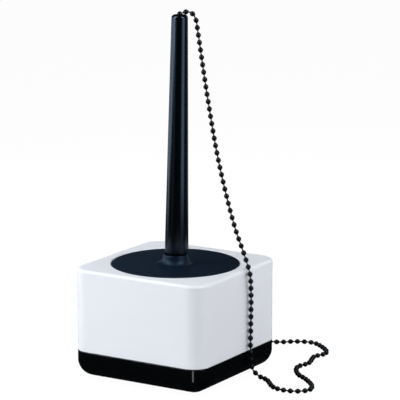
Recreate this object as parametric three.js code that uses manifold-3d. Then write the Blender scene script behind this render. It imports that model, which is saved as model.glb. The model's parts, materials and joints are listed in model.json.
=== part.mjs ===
// A desk pen on a ball chain, standing in a weighted square holder.
// Millimetres, +Z up. The origin is the middle of the holder's footprint, on the table.
// The wide front face looks along -Y. The chain hangs from the pen's top over the +X side.
import Module from "manifold-3d";
import * as THREE from "three";
import { mergeVertices } from "three/addons/utils/BufferGeometryUtils.js";

const wasm = await Module();
wasm.setup();

// Clearances
const SEAT_GAP = 0.3;
const SNAP_GAP = 0.4;
const BALL_GAP = 0.07;

// How far a cutter runs past what it cuts
const CUT_PAST = 1;

// Outer shell, shared by the white housing and the black pan
const SIDE = 70;
const PLAN_RADIUS = 8.2;
const SHARPEST_CORNER = 0.4;
const PAN_HEIGHT = 12.2;
const HOUSING_HEIGHT = 38.7;
const TOP_EDGE_RADIUS = 1.6;
const PAN_FILLET = 8;
const HOUSING_WALL = 2.2;
const TOP_THICKNESS = 2.6;
const PAN_WALL = 3;
const PAN_FLOOR = 2.4;

// Rubber feet, each one covering a screw
const FOOT_STANDOFF = 0.6;
const FOOT_RADIUS = 4;
const FOOT_EDGE = 0.3;
const FOOT_RECESS_DEPTH = 1;
const SCREW_OFFSET = 23;

// Screws and what they go into
const SCREW_HEAD_RADIUS = 2.6;
const SCREW_HEAD_HEIGHT = 1.6;
const SCREW_SHANK_RADIUS = 1.3;
const SCREW_LENGTH = 14;
const SCREW_BOSS_WALL = 1.5;
const POST_RADIUS = 3.2;

// The pan's upstand, which centres the housing, and the fence round the ballast
const UPSTAND_HEIGHT = 2.4;
const UPSTAND_WALL = 1.5;
const FENCE_HEIGHT = 3;
const FENCE_WALL = 1.2;

// Stiffening ribs on the housing's inner faces
const RIB_WIDTH = 1.2;
const RIB_DEPTH = 1.4;
const RIB_SPACING = 24;
const GUSSET_THICKNESS = 1.5;
const GUSSET_DROP = 24;

// Round opening with its rounded lip and the ledge under it
const OPENING_RADIUS = 29.95;
const LIP_RADIUS = 0.5;
const SKIRT_WALL = 2;
const LEDGE_WIDTH = 3.1;
const LEDGE_THICKNESS = 2.2;

// Socket plate: disc, collar and the socket that takes the pen's nose
const PLATE_RECESS = 0.2;
const PLATE_THICKNESS = 2.2;
const PLATE_EDGE_RADIUS = 0.4;
const COLLAR_HEIGHT = 4.4;
const COLLAR_WALL = 0.85;
const COLLAR_FLARE = 3.4;
const COLLAR_DRAFT = 0.2;
const RIM_RADIUS = 0.35;
const SOCKET_CLEARANCE = 0.85;
const SOCKET_WALL = 1.6;
const SOCKET_END_RADIUS = 3;
const SOCKET_FLOOR = 2;
const HOOK_COUNT = 4;
const HOOK_WIDTH = 6;
const HOOK_THICKNESS = 1.5;
const HOOK_REACH = 1.4;
const HOOK_HEAD = 2.4;
const HOOK_CATCH = 0.8;
const PLATE_RIB_COUNT = 4;
const PLATE_RIB_THICKNESS = 1.2;
const PLATE_RIB_DEPTH = 13;

// Ballast
const BALLAST_SIDE = 44;
const BALLAST_HEIGHT = 8;
const BALLAST_CORNER = 3;
const BALLAST_BEVEL = 0.8;

// Pen: it stands on its tip in the socket and leans on the collar, towards the chain
const PEN_LEAN = THREE.MathUtils.degToRad(1);
const BARREL_LENGTH = 111.1;
const BARREL_FOOT_RADIUS = 5.5;
const BARREL_TOP_RADIUS = 3.75;
const BARREL_EDGE = 0.9;
const NOSE_LENGTH = 33.1;
const NOSE_RADIUS = 4;
const NOSE_END_RADIUS = 1.75;
const NOSE_CYLINDER = 9;
const SPIGOT_RADIUS = 3;
const SPIGOT_LENGTH = 9;
const REFILL_RADIUS = 1.3;
const REFILL_WALL = 0.4;
const REFILL_LENGTH = 78;
const TIP_RADIUS = 0.8;
const TIP_LENGTH = 9;
const TIP_COLLAR_HEIGHT = 1.2;
const TIP_BARE_LENGTH = 3.4;
const BALL_RADIUS = 0.45;
const BALL_CUP_WALL = 0.14;
const PLUG_RADIUS = 2.1;
const PLUG_LENGTH = 6;
const PLUG_CAP = 1.6;

// Ball chain
const BEAD_RADIUS = 1.2;
const BEAD_PITCH = 3.4;
const LINK_RADIUS = 0.3;
const SWIVEL_RISE = 0.4;
const SWIVEL_NECK_RADIUS = 0.6;
const SWIVEL_FLANGE_RADIUS = 1.2;
const SWIVEL_FLANGE_HEIGHT = 0.8;

// Where the chain is caught inside the pan
const ANCHOR_WALL = 0.5;
const ANCHOR_LENGTH = 8;
const ANCHOR_HEIGHT = 9.1;
const ANCHOR_INSET = 4.3;
const ANCHOR_TAB_LENGTH = 8;
const ANCHOR_TAB_THICKNESS = 1;
const ANCHOR_TAB_WIDTH = 4.4;
const ANCHOR_SCREW_LENGTH = 5;
const ANCHOR_BOSS_RADIUS = 2.8;
const ANCHOR_SCREW_SHANK = 0.9;
const ANCHOR_SCREW_HEAD = 1.8;
const ANCHOR_SCREW_HEAD_HEIGHT = 0.8;

// The chain's route: over the rim of the pen, in a curve down to the edge of the housing,
// down its +X face, out on the table in loose bends and back into the rear of the pan
const HANGING_POINTS = [
  [3.8, 0.3, 168.3],
  [6.2, 0.8, 168.9],
  [8.7, 1.3, 168],
  [10.2, 1.6, 165.4],
  [11, 1.8, 160.5],
  [15.6, 2.8, 130.2],
  [21, 3.9, 100.5],
  [28.3, 5.6, 71.6],
  [33.9, 6, 57.2],
  [36.5, 6, 49.5],
  [36.5, 7.1, 38],
  [36.5, 7, 11],
  [37.4, 7.3, 4.4],
];
const FLOOR_POINTS = [
  [40.8, 7.3, 1.7],
  [46.4, 4.7, 1.4],
  [55.2, -4, 1.3],
  [61.5, -5.5, 1.3],
  [67.4, -3.8, 1.3],
  [70.9, 0.9, 1.3],
  [68.8, 7.2, 1.3],
  [60.5, 15.7, 1.3],
  [54.8, 19.8, 1.3],
  [49.3, 26.8, 1.3],
  [47.5, 32.3, 1.3],
  [48.8, 39.6, 1.3],
  [46.5, 46.9, 1.3],
  [45.4, 51.6, 1.3],
  [47, 55.9, 1.3],
  [46.7, 60.6, 1.3],
  [40.2, 67.9, 1.3],
  [32.6, 72.2, 1.3],
  [25, 70.1, 1.3],
  [18.2, 64.6, 1.3],
  [9, 61.8, 1.3],
  [3.1, 55.2, 1.4],
  [0.7, 46.4, 1.6],
  [0.1, 41.8, 3.9],
  [0, 36.8, 8.6],
  [0, 31.2, 9.7],
  [0, 25.6, 9.7],
];

// Facets
const CORNER_STEPS = 5;
const ROUND_SEGMENTS = 44;
const BARREL_SEGMENTS = 24;
const SMALL_SEGMENTS = 14;
const TINY_SEGMENTS = 10;
const FILLET_STEPS = 5;
const SMALL_FILLET_STEPS = 3;
const CHAIN_SIDES = 6;
const BEAD_RING = 2 / 3;
const ROUTE_DIVISIONS = 3000;

// Heights that follow from the sizes above
const panBottom = FOOT_STANDOFF;
const panTop = panBottom + PAN_HEIGHT;
const panFloorTop = panBottom + PAN_FLOOR;
const housingBottom = panTop + SEAT_GAP;
const standTop = housingBottom + HOUSING_HEIGHT;
const housingCeiling = standTop - TOP_THICKNESS;
const plateTop = standTop - PLATE_RECESS;
const plateBottom = plateTop - PLATE_THICKNESS;
const ledgeTop = plateBottom - SEAT_GAP;
const ledgeBottom = ledgeTop - LEDGE_THICKNESS;
const ledgeRadius = OPENING_RADIUS - LEDGE_WIDTH;
const collarTop = plateTop + COLLAR_HEIGHT;
const socketRadius = NOSE_RADIUS + SOCKET_CLEARANCE;
const collarRadius = socketRadius + COLLAR_WALL;
const penTipHeight = collarTop + SEAT_GAP - NOSE_LENGTH;
const socketBottom = penTipHeight - SEAT_GAP;
const screwSeat = panBottom + FOOT_RECESS_DEPTH + SCREW_HEAD_HEIGHT + 2 * SEAT_GAP;
const bossHole = SCREW_SHANK_RADIUS + SEAT_GAP;
const screwBossRadius = SCREW_HEAD_RADIUS + SEAT_GAP + SCREW_BOSS_WALL;
const ballastBottom = panFloorTop + SEAT_GAP;
const ballastTop = ballastBottom + BALLAST_HEIGHT;
const halfSide = SIDE / 2;

// Heights on the pen, from its tip
const barrelFoot = NOSE_LENGTH;
const barrelTop = barrelFoot + BARREL_LENGTH;
const swivelBallHeight = barrelTop + SWIVEL_RISE;

// Turns a three.js geometry into a solid that can be joined and cut.
function solid(geometry) {
  const bare = geometry.clone();
  bare.deleteAttribute("normal");
  bare.deleteAttribute("uv");
  const merged = mergeVertices(bare, 1e-4);
  return new wasm.Manifold(
    new wasm.Mesh({
      numProp: 3,
      vertProperties: merged.attributes.position.array,
      triVerts: new Uint32Array(merged.index.array),
    }),
  );
}

function geometryOf(shape) {
  const mesh = shape.getMesh();
  const geometry = new THREE.BufferGeometry();
  geometry.setAttribute("position", new THREE.BufferAttribute(mesh.vertProperties, 3));
  geometry.setIndex(new THREE.BufferAttribute(mesh.triVerts, 1));
  geometry.computeVertexNormals();
  return geometry;
}

const joined = (shapes) => shapes.reduce((all, shape) => all.add(shape));
const cut = (body, tools) => tools.reduce((left, tool) => left.subtract(tool), body);

// Revolves a closed outline of [radius, height] pairs about Z.
function turned(outline, segments = ROUND_SEGMENTS) {
  const points = outline.map(([radius, height]) => new THREE.Vector2(radius, height));
  return new THREE.LatheGeometry(points, segments).rotateX(Math.PI / 2);
}

const turnedSolid = (outline, segments) => solid(turned(outline, segments));

// Points of a round stretch of an outline, with angles in degrees from the radial direction.
function arc(centre, radius, from, to, steps = SMALL_FILLET_STEPS) {
  return Array.from({ length: steps + 1 }, (_, i) => {
    const angle = THREE.MathUtils.degToRad(from + ((to - from) * i) / steps);
    return [centre[0] + radius * Math.cos(angle), centre[1] + radius * Math.sin(angle)];
  });
}

function cylinder(radius, bottom, top, x = 0, y = 0, segments = SMALL_SEGMENTS) {
  const geometry = new THREE.CylinderGeometry(radius, radius, top - bottom, segments);
  geometry.rotateX(Math.PI / 2).translate(x, y, (bottom + top) / 2);
  return solid(geometry);
}

function box(from, to) {
  const size = to.map((value, i) => value - from[i]);
  const middle = to.map((value, i) => (value + from[i]) / 2);
  return solid(new THREE.BoxGeometry(...size).translate(...middle));
}

// Closes a stack of rings, each with as many points as the last, with a cap at both ends.
function stacked(rings) {
  const perRing = rings[0].length;
  const positions = rings.flat().flatMap((point) => point.toArray());
  const index = [];
  for (let ring = 0; ring + 1 < rings.length; ring++) {
    for (let i = 0; i < perRing; i++) {
      const a = ring * perRing + i;
      const b = ring * perRing + ((i + 1) % perRing);
      index.push(a, b, b + perRing, a, b + perRing, a + perRing);
    }
  }
  for (const [ring, flip] of [[0, true], [rings.length - 1, false]]) {
    const centre = positions.length / 3;
    const middle = new THREE.Vector3();
    rings[ring].forEach((point) => middle.addScaledVector(point, 1 / perRing));
    positions.push(...middle.toArray());
    for (let i = 0; i < perRing; i++) {
      const a = ring * perRing + i;
      const b = ring * perRing + ((i + 1) % perRing);
      index.push(...(flip ? [centre, b, a] : [centre, a, b]));
    }
  }
  const geometry = new THREE.BufferGeometry();
  geometry.setAttribute("position", new THREE.Float32BufferAttribute(positions, 3));
  geometry.setIndex(index);
  geometry.computeVertexNormals();
  return geometry;
}

// One level of a square with rounded corners.
function squareRing(half, radius, height) {
  const ring = [];
  for (let corner = 0; corner < 4; corner++) {
    for (let step = 0; step <= CORNER_STEPS; step++) {
      const angle = ((corner + step / CORNER_STEPS) * Math.PI) / 2;
      const signX = corner === 0 || corner === 3 ? 1 : -1;
      const signY = corner < 2 ? 1 : -1;
      const x = signX * (half - radius) + radius * Math.cos(angle);
      const y = signY * (half - radius) + radius * Math.sin(angle);
      ring.push(new THREE.Vector3(x, y, height));
    }
  }
  return ring;
}

// A square block with rounded upright edges and, where asked, a rounded bottom or top edge.
function roundedBlock(half, radius, bottom, top, bottomFillet = 0, topFillet = 0) {
  const levels = [];
  for (let step = 0; step <= (bottomFillet ? FILLET_STEPS : 0); step++) {
    const angle = ((step / FILLET_STEPS) * Math.PI) / 2;
    levels.push([bottomFillet * (1 - Math.sin(angle)), bottom + bottomFillet * (1 - Math.cos(angle))]);
  }
  for (let step = topFillet ? FILLET_STEPS : 0; step >= 0; step--) {
    const angle = ((step / FILLET_STEPS) * Math.PI) / 2;
    levels.push([topFillet * (1 - Math.sin(angle)), top - topFillet * (1 - Math.cos(angle))]);
  }
  const corner = (inset) => Math.max(radius - inset, SHARPEST_CORNER);
  return solid(stacked(levels.map(([inset, z]) => squareRing(half - inset, corner(inset), z))));
}

// The four places where a screw, its boss and post, and a foot stand.
const screwPlaces = [[1, 1], [-1, 1], [-1, -1], [1, -1]].map(([x, y]) => [
  x * SCREW_OFFSET,
  y * SCREW_OFFSET,
]);

const turnedAbout = (shape, degrees) => shape.rotate([0, 0, degrees]);

// Gussets that tie each post to its corner of the housing.
function cornerGussets() {
  const start = Math.SQRT2 * SCREW_OFFSET;
  const end = Math.SQRT2 * (halfSide - PLAN_RADIUS) + PLAN_RADIUS - HOUSING_WALL / 2;
  const half = GUSSET_THICKNESS / 2;
  const gusset = box([start, -half, standTop - GUSSET_DROP], [end, half, housingCeiling + SEAT_GAP]);
  return [45, 135, 225, 315].map((degrees) => turnedAbout(gusset, degrees));
}

// Upright ribs, two on each inner face.
function wallRibs() {
  const inner = halfSide - HOUSING_WALL;
  const bottom = panTop + UPSTAND_HEIGHT + 2 * SEAT_GAP;
  const ribs = [];
  for (const degrees of [0, 90, 180, 270]) {
    for (const side of [-1, 1]) {
      const middle = (side * RIB_SPACING) / 2;
      const rib = box(
        [inner - RIB_DEPTH, middle - RIB_WIDTH / 2, bottom],
        [inner + HOUSING_WALL / 2, middle + RIB_WIDTH / 2, housingCeiling + SEAT_GAP],
      );
      ribs.push(turnedAbout(rib, degrees));
    }
  }
  return ribs;
}

// What the disc drops into: a round well with a rounded lip, over a narrower hole.
function openingCutter() {
  const above = standTop + TOP_THICKNESS;
  return turnedSolid([
    [0, housingBottom],
    [ledgeRadius, housingBottom],
    [ledgeRadius, ledgeTop],
    [OPENING_RADIUS, ledgeTop],
    ...arc([OPENING_RADIUS + LIP_RADIUS, standTop - LIP_RADIUS], LIP_RADIUS, 180, 90),
    [OPENING_RADIUS + LIP_RADIUS, above],
    [0, above],
  ]);
}

function housing() {
  const shell = roundedBlock(halfSide, PLAN_RADIUS, housingBottom, standTop, 0, TOP_EDGE_RADIUS);
  const cavity = roundedBlock(
    halfSide - HOUSING_WALL,
    PLAN_RADIUS - HOUSING_WALL,
    housingBottom - TOP_THICKNESS,
    housingCeiling,
    0,
    TOP_EDGE_RADIUS - HOUSING_WALL / 2,
  );
  const skirtRadius = OPENING_RADIUS + SKIRT_WALL;
  const skirt = cylinder(skirtRadius, ledgeBottom, housingCeiling + SEAT_GAP, 0, 0, ROUND_SEGMENTS);
  const posts = screwPlaces.map(([x, y]) =>
    cylinder(POST_RADIUS, housingBottom, housingCeiling + SEAT_GAP, x, y),
  );
  const pilots = screwPlaces.map(([x, y]) =>
    cylinder(bossHole, panTop, screwSeat + SCREW_LENGTH + CUT_PAST, x, y, TINY_SEGMENTS),
  );
  const body = joined([cut(shell, [cavity]), skirt, ...posts, ...cornerGussets(), ...wallRibs()]);
  return geometryOf(cut(body, [openingCutter(), ...pilots]));
}

// The ring that stands up inside the housing's wall and keeps the two shells in line.
function panUpstand() {
  const outer = halfSide - HOUSING_WALL - SEAT_GAP;
  const radius = PLAN_RADIUS - HOUSING_WALL - SEAT_GAP;
  const bottom = panBottom + PAN_FILLET;
  const top = panTop + UPSTAND_HEIGHT;
  const inner = roundedBlock(
    outer - UPSTAND_WALL,
    radius - UPSTAND_WALL,
    bottom - CUT_PAST,
    top + CUT_PAST,
  );
  return cut(roundedBlock(outer, radius, bottom, top), [inner]);
}

function ballastFence() {
  const inner = BALLAST_SIDE / 2 + SEAT_GAP;
  const outer = inner + FENCE_WALL;
  const bottom = panBottom + PAN_FLOOR / 2;
  const top = panFloorTop + FENCE_HEIGHT;
  const room = roundedBlock(inner, BALLAST_CORNER, bottom - CUT_PAST, top + CUT_PAST);
  return cut(roundedBlock(outer, BALLAST_CORNER + FENCE_WALL, bottom, top), [room]);
}

// Where the chain's anchor sits, measured inwards from the pan's rear face and up from its floor.
const anchorMouth = halfSide - ANCHOR_INSET;
const anchorRear = anchorMouth - ANCHOR_LENGTH;
const anchorScrewY = anchorRear - ANCHOR_TAB_LENGTH / 2;
const anchorAxis = panBottom + ANCHOR_HEIGHT;
const anchorTabBottom = anchorAxis - ANCHOR_TAB_THICKNESS / 2;

function basePan() {
  const shell = roundedBlock(halfSide, PLAN_RADIUS, panBottom, panTop, PAN_FILLET, 0);
  const innerHalf = halfSide - PAN_WALL;
  const innerFillet = PAN_FILLET - PAN_WALL;
  const cavity = roundedBlock(
    innerHalf,
    PLAN_RADIUS - PAN_WALL,
    panFloorTop,
    panTop + UPSTAND_HEIGHT + CUT_PAST,
    innerFillet,
    0,
  );
  const bosses = screwPlaces.map(([x, y]) =>
    cylinder(screwBossRadius, panBottom + PAN_FLOOR / 2, panTop, x, y),
  );
  const anchorBoss = cylinder(
    ANCHOR_BOSS_RADIUS,
    panBottom + PAN_FLOOR / 2,
    anchorTabBottom - SEAT_GAP,
    0,
    anchorScrewY,
  );
  const body = joined([
    cut(shell, [cavity]),
    panUpstand(),
    ballastFence(),
    ...bosses,
    anchorBoss,
  ]);
  return geometryOf(cut(body, panHoles()));
}

// Everything that is cut out of the pan: foot recesses, screw holes and the chain's way out.
function panHoles() {
  const holes = [];
  for (const [x, y] of screwPlaces) {
    const recessTop = panBottom + FOOT_RECESS_DEPTH;
    holes.push(cylinder(FOOT_RADIUS + SEAT_GAP, panBottom - CUT_PAST, recessTop, x, y));
    holes.push(cylinder(SCREW_HEAD_RADIUS + SEAT_GAP, panBottom, screwSeat, x, y));
    holes.push(cylinder(bossHole, panBottom, panTop + CUT_PAST, x, y, TINY_SEGMENTS));
  }
  const pilotBottom = anchorTabBottom - SEAT_GAP - ANCHOR_SCREW_LENGTH;
  const pilotRadius = ANCHOR_SCREW_SHANK + SEAT_GAP;
  holes.push(cylinder(pilotRadius, pilotBottom, panTop, 0, anchorScrewY, TINY_SEGMENTS));
  const wayOut = new THREE.CylinderGeometry(
    BEAD_RADIUS + SNAP_GAP,
    BEAD_RADIUS + SNAP_GAP,
    2 * ANCHOR_INSET,
    SMALL_SEGMENTS,
  );
  holes.push(solid(wayOut.translate(0, halfSide, anchorAxis)));
  return holes;
}

// Cantilever hooks that snap under the housing's ledge.
function plateHooks() {
  const outer = ledgeRadius - SNAP_GAP;
  const inner = outer - HOOK_THICKNESS;
  const catchTop = ledgeBottom - SEAT_GAP;
  const ring = turnedSolid([
    [inner, catchTop - HOOK_HEAD],
    [outer, catchTop - HOOK_HEAD],
    [outer + HOOK_REACH, catchTop - HOOK_CATCH],
    [outer + HOOK_REACH, catchTop],
    [outer, catchTop],
    [outer, plateBottom + PLATE_THICKNESS / 2],
    [inner, plateBottom + PLATE_THICKNESS / 2],
    [inner, catchTop - HOOK_HEAD],
  ]);
  const slice = box(
    [0, -HOOK_WIDTH / 2, catchTop - HOOK_HEAD - CUT_PAST],
    [OPENING_RADIUS, HOOK_WIDTH / 2, plateTop],
  );
  return Array.from({ length: HOOK_COUNT }, (_, i) =>
    ring.intersect(turnedAbout(slice, ((i + 0.5) * 360) / HOOK_COUNT)),
  );
}

// Tapered ribs from the socket's wall to the rim, under the disc.
function plateRibs() {
  const start = socketRadius + SOCKET_WALL / 2;
  const end = ledgeRadius - SNAP_GAP - HOOK_THICKNESS;
  const top = plateBottom + PLATE_THICKNESS / 2;
  const outline = new THREE.Shape([
    new THREE.Vector2(start, top),
    new THREE.Vector2(start, plateBottom - PLATE_RIB_DEPTH),
    new THREE.Vector2(end, plateBottom - PLATE_RIB_THICKNESS),
    new THREE.Vector2(end, top),
  ]);
  const flat = new THREE.ExtrudeGeometry(outline, {
    depth: PLATE_RIB_THICKNESS,
    bevelEnabled: false,
  });
  flat.translate(0, 0, -PLATE_RIB_THICKNESS / 2).rotateX(Math.PI / 2);
  return Array.from({ length: PLATE_RIB_COUNT }, (_, i) =>
    turnedAbout(solid(flat), (i * 360) / PLATE_RIB_COUNT),
  );
}

function socketPlate() {
  const discRadius = OPENING_RADIUS - SEAT_GAP;
  const collarFoot = collarRadius + COLLAR_DRAFT;
  const endRadius = SOCKET_END_RADIUS + SOCKET_WALL;
  const body = turnedSolid([
    [0, socketBottom - SOCKET_FLOOR],
    [endRadius, socketBottom - SOCKET_FLOOR],
    [socketRadius + SOCKET_WALL, plateBottom],
    [discRadius, plateBottom],
    ...arc([discRadius - PLATE_EDGE_RADIUS, plateTop - PLATE_EDGE_RADIUS], PLATE_EDGE_RADIUS, 0, 90),
    ...arc([collarFoot + COLLAR_FLARE, plateTop + COLLAR_FLARE], COLLAR_FLARE, 270, 180, 5),
    ...arc([collarRadius - RIM_RADIUS, collarTop - RIM_RADIUS], RIM_RADIUS, 0, 90),
    [socketRadius, collarTop],
    [socketRadius, plateBottom],
    [SOCKET_END_RADIUS, socketBottom],
    [0, socketBottom],
  ]);
  return geometryOf(joined([body, ...plateHooks(), ...plateRibs()]));
}

function ballastBlock() {
  const block = roundedBlock(
    BALLAST_SIDE / 2,
    BALLAST_CORNER,
    ballastBottom,
    ballastTop,
    0,
    BALLAST_BEVEL,
  );
  const bossRoom = screwBossRadius + SEAT_GAP;
  const corners = screwPlaces.map(([x, y]) =>
    cylinder(bossRoom, ballastBottom - CUT_PAST, ballastTop + CUT_PAST, x, y),
  );
  const notchHalf = ANCHOR_BOSS_RADIUS + 2 * SEAT_GAP;
  const notchDepth = anchorRear - ANCHOR_TAB_LENGTH - SEAT_GAP;
  const notch = box(
    [-notchHalf, notchDepth, ballastBottom - CUT_PAST],
    [notchHalf, BALLAST_SIDE, ballastTop + CUT_PAST],
  );
  return geometryOf(cut(block, [...corners, notch]));
}

function footPad() {
  const top = panBottom + FOOT_RECESS_DEPTH - SEAT_GAP;
  const edge = arc([FOOT_RADIUS - FOOT_EDGE, FOOT_EDGE], FOOT_EDGE, 270, 360);
  return turned([[0, 0], ...edge, [FOOT_RADIUS, top], [0, top]], SMALL_SEGMENTS);
}

// A dome-headed screw that points up, with the underside of its head at the seat's height.
function domeScrew(headRadius, headHeight, shankRadius, length, seat) {
  const crown = seat - headHeight;
  const domeRadius = (headRadius ** 2 + headHeight ** 2) / (2 * headHeight);
  const edgeAngle = THREE.MathUtils.radToDeg(Math.asin(headRadius / domeRadius));
  const dome = arc([0, crown + domeRadius], domeRadius, 270, 270 + edgeAngle);
  return turned(
    [
      [0, crown],
      ...dome.slice(1),
      [shankRadius, seat],
      [shankRadius, seat + length - shankRadius],
      [0, seat + length],
    ],
    TINY_SEGMENTS,
  );
}

const panScrew = () =>
  domeScrew(
    SCREW_HEAD_RADIUS,
    SCREW_HEAD_HEIGHT,
    SCREW_SHANK_RADIUS,
    SCREW_LENGTH,
    screwSeat - SEAT_GAP,
  );

// The anchor screw is the same shape, upside down and smaller.
function anchorScrew() {
  const seat = anchorTabBottom + ANCHOR_TAB_THICKNESS + SEAT_GAP;
  const screw = domeScrew(
    ANCHOR_SCREW_HEAD,
    ANCHOR_SCREW_HEAD_HEIGHT,
    ANCHOR_SCREW_SHANK,
    ANCHOR_SCREW_LENGTH,
    0,
  );
  return screw.rotateX(Math.PI).translate(0, anchorScrewY, seat);
}

// A cup that holds the chain's last beads, with a flat tab for the screw.
function chainAnchor() {
  const inner = BEAD_RADIUS + SEAT_GAP;
  const outer = inner + ANCHOR_WALL;
  const cup = turnedSolid(
    [
      [0, 0],
      [outer, 0],
      [outer, ANCHOR_LENGTH],
      [inner, ANCHOR_LENGTH],
      [inner, ANCHOR_WALL],
      [0, ANCHOR_WALL],
    ],
    SMALL_SEGMENTS,
  );
  const lying = cup.rotate([-90, 0, 0]).translate([0, anchorRear, anchorAxis]);
  const tab = box(
    [-ANCHOR_TAB_WIDTH / 2, anchorRear - ANCHOR_TAB_LENGTH, anchorTabBottom],
    [ANCHOR_TAB_WIDTH / 2, anchorRear + ANCHOR_WALL, anchorTabBottom + ANCHOR_TAB_THICKNESS],
  );
  const holeRadius = ANCHOR_SCREW_SHANK + SEAT_GAP;
  const hole = cylinder(holeRadius, panFloorTop, panTop, 0, anchorScrewY, TINY_SEGMENTS);
  return geometryOf(cut(lying.add(tab), [hole]));
}

// Radius of the barrel at a height over the pen's tip.
function barrelRadius(height) {
  const share = (height - barrelFoot) / BARREL_LENGTH;
  return THREE.MathUtils.lerp(BARREL_FOOT_RADIUS, BARREL_TOP_RADIUS, share);
}

function penBarrel() {
  const spigotBore = SPIGOT_RADIUS + SEAT_GAP;
  const refillBore = REFILL_RADIUS + SEAT_GAP;
  const spigotTop = barrelFoot + SPIGOT_LENGTH + SEAT_GAP;
  const refillTop = TIP_LENGTH + REFILL_LENGTH + 2 * SEAT_GAP;
  const plugFloor = barrelTop - PLUG_LENGTH - SEAT_GAP;
  const plugBore = PLUG_RADIUS + SEAT_GAP;
  const footRadius = barrelRadius(barrelFoot + BARREL_EDGE) - BARREL_EDGE;
  const topRadius = barrelRadius(barrelTop - BARREL_EDGE) - BARREL_EDGE;
  return turned(
    [
      [0, refillTop],
      [refillBore, refillTop],
      [refillBore, spigotTop],
      [spigotBore, spigotTop],
      [spigotBore, barrelFoot],
      ...arc([footRadius, barrelFoot + BARREL_EDGE], BARREL_EDGE, 270, 360, 4),
      ...arc([topRadius, barrelTop - BARREL_EDGE], BARREL_EDGE, 0, 90, 4),
      [plugBore, barrelTop],
      [plugBore, plugFloor],
      [0, plugFloor],
    ],
    BARREL_SEGMENTS,
  );
}

// The nose goes into the socket. Its spigot holds it in the barrel and the refill runs through it.
function penNose() {
  const tubeBore = REFILL_RADIUS + SEAT_GAP;
  const tipBore = TIP_RADIUS + SEAT_GAP;
  const step = TIP_LENGTH - TIP_COLLAR_HEIGHT - SEAT_GAP;
  const shoulder = barrelFoot - SEAT_GAP;
  return turned(
    [
      [tipBore, TIP_BARE_LENGTH],
      [NOSE_END_RADIUS, TIP_BARE_LENGTH],
      [NOSE_RADIUS, shoulder - NOSE_CYLINDER],
      [NOSE_RADIUS, shoulder],
      [SPIGOT_RADIUS, shoulder],
      [SPIGOT_RADIUS, barrelFoot + SPIGOT_LENGTH],
      [tubeBore, barrelFoot + SPIGOT_LENGTH],
      [tubeBore, step],
      [tipBore, step],
      [tipBore, TIP_BARE_LENGTH],
    ],
    SMALL_SEGMENTS,
  );
}

function refillTube() {
  const bottom = TIP_LENGTH + SEAT_GAP;
  const inner = REFILL_RADIUS - REFILL_WALL;
  const top = bottom + REFILL_LENGTH;
  return turned(
    [
      [inner, bottom],
      [REFILL_RADIUS, bottom],
      [REFILL_RADIUS, top],
      [inner, top],
      [inner, bottom],
    ],
    TINY_SEGMENTS,
  );
}

function refillTip() {
  const cupRadius = BALL_RADIUS + BALL_GAP;
  const cupTop = 2 * BALL_RADIUS + BALL_GAP;
  return turned(
    [
      [0, cupTop],
      [cupRadius, cupTop],
      [cupRadius, BALL_RADIUS],
      [cupRadius + BALL_CUP_WALL, BALL_RADIUS],
      [TIP_RADIUS, TIP_BARE_LENGTH],
      [TIP_RADIUS, TIP_LENGTH - TIP_COLLAR_HEIGHT],
      [REFILL_RADIUS, TIP_LENGTH - TIP_COLLAR_HEIGHT],
      [REFILL_RADIUS, TIP_LENGTH],
      [0, TIP_LENGTH],
    ],
    TINY_SEGMENTS,
  );
}

const writingBall = () =>
  new THREE.SphereGeometry(BALL_RADIUS, TINY_SEGMENTS, TINY_SEGMENTS).translate(0, 0, BALL_RADIUS);

// The plug closes the barrel's top. The swivel's ball sits in its hollow and the neck turns in
// the hole under it.
function penEndPlug() {
  const bottom = barrelTop - PLUG_LENGTH;
  const hole = SWIVEL_NECK_RADIUS + SEAT_GAP;
  const room = SWIVEL_FLANGE_RADIUS + SEAT_GAP;
  const seat = BEAD_RADIUS + SEAT_GAP;
  const seatTop = THREE.MathUtils.radToDeg(Math.asin(SWIVEL_RISE / seat));
  const seatBottom = THREE.MathUtils.radToDeg(Math.acos(hole / seat));
  return turned(
    [
      [room, bottom],
      [PLUG_RADIUS, bottom],
      [PLUG_RADIUS, barrelTop],
      ...arc([0, swivelBallHeight], seat, -seatTop, -seatBottom),
      [hole, barrelTop - PLUG_CAP],
      [room, barrelTop - PLUG_CAP],
      [room, bottom],
    ],
    SMALL_SEGMENTS,
  );
}

// A ball on a neck with a flange under the plug's cap: the chain hangs on the ball.
function chainSwivel() {
  const flangeTop = barrelTop - PLUG_CAP - SEAT_GAP;
  const neckAngle = THREE.MathUtils.radToDeg(Math.acos(SWIVEL_NECK_RADIUS / BEAD_RADIUS));
  const ball = arc([0, swivelBallHeight], BEAD_RADIUS, -neckAngle, 90, 8).slice(0, -1);
  return turned(
    [
      [0, flangeTop - SWIVEL_FLANGE_HEIGHT],
      [SWIVEL_FLANGE_RADIUS, flangeTop - SWIVEL_FLANGE_HEIGHT],
      [SWIVEL_FLANGE_RADIUS, flangeTop],
      [SWIVEL_NECK_RADIUS, flangeTop],
      ...ball,
      [0, swivelBallHeight + BEAD_RADIUS],
    ],
    TINY_SEGMENTS,
  );
}

// The whole chain follows one curve. A stretch of it is a row of balls joined by thin links.
const chainRoute = new THREE.CatmullRomCurve3(
  [...HANGING_POINTS, ...FLOOR_POINTS].map((point) => new THREE.Vector3(...point)),
  false,
  "centripetal",
);
chainRoute.arcLengthDivisions = ROUTE_DIVISIONS;
const chainLength = chainRoute.getLength();
const beadCount = Math.floor(chainLength / BEAD_PITCH);

// Rings of one bead, as [place along the bead from its middle, radius].
const beadRings = [-BEAD_RING, 0, BEAD_RING].map((place) => [
  place * BEAD_RADIUS,
  Math.sqrt(1 - place ** 2) * BEAD_RADIUS,
]);

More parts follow.
